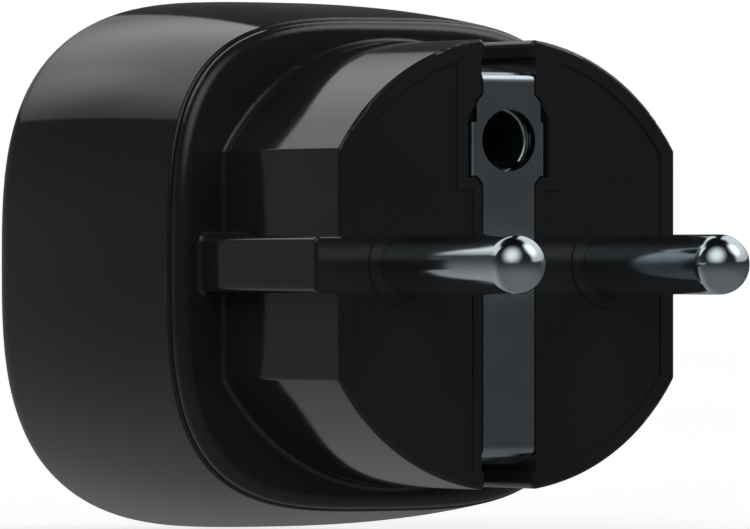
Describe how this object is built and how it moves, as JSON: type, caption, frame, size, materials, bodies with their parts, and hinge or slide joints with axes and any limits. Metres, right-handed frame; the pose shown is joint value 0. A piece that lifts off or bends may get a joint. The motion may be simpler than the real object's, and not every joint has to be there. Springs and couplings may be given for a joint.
{
  "type": "universal travel adapter",
  "caption": "Travel adapter with a round-pin earthed plug on one side and a shuttered multi-standard socket on the other.",
  "frame": {"origin": "centre of the plug's engagement face, midway between the two pins", "axes": "+Z from the pins towards the earth hole, +Y from the engagement face towards the socket end, pins point to -Y, +X to the right seen from the plug side"},
  "size_m": [0.0444, 0.067, 0.0444],
  "materials": {
    "black_gloss": "glossy black moulded plastic",
    "cover_black": "glossy black moulded plastic",
    "face_black": "glossy black moulded plastic",
    "nickel": "nickel-plated brass",
    "strip_nickel": "nickel-plated spring strip",
    "sleeve_nickel": "nickel-plated spring brass",
    "brass": "stamped brass",
    "bronze": "spring bronze",
    "rivet_brass": "turned brass",
    "zinc_screw": "zinc-plated steel",
    "spring_steel": "spring steel wire",
    "carrier_plastic": "grey moulded thermoplastic",
    "retainer_plastic": "grey moulded thermoplastic",
    "frame_plastic": "dark moulded thermoplastic",
    "shutter_plastic": "dark low-friction plastic"
  },
  "bodies": {
    "adapter": {"body_shell": "black_gloss", "plug_cover": "cover_black", "socket_faceplate": "face_black", "left_pin": "nickel", "right_pin": "nickel", "pin_retainer": "retainer_plastic", "retainer_screws": "zinc_screw", "earth_strip": "strip_nickel", "earth_pin_sleeve": "sleeve_nickel", "earth_link": "brass", "earth_busbar": "brass", "large_earth_clip": "bronze", "small_earth_clip": "bronze", "round_earth_clip": "bronze", "earth_rivets": "rivet_brass", "left_contact": "brass", "right_contact": "brass", "left_blade_spring": "bronze", "right_blade_spring": "bronze", "contact_rivets": "rivet_brass", "contact_carrier": "carrier_plastic", "shutter_frame": "frame_plastic", "left_shutter_spring": "spring_steel", "right_shutter_spring": "spring_steel", "carrier_screws": "zinc_screw"},
    "left_shutter": {"left_shutter": "shutter_plastic"},
    "right_shutter": {"right_shutter": "shutter_plastic"}
  },
  "joints": [
    {"name": "left_shutter_slide", "type": "slide", "parent": "adapter", "child": "left_shutter", "axis": [0, 0, 1], "range_m": [0, 0.009], "stiffness_N_per_m": 320, "springref_m": -0.0015, "deforming": ["left_shutter_spring"]},
    {"name": "right_shutter_slide", "type": "slide", "parent": "adapter", "child": "right_shutter", "axis": [0, 0, 1], "range_m": [0, 0.009], "stiffness_N_per_m": 320, "springref_m": -0.0015, "deforming": ["right_shutter_spring"]}
  ]
}
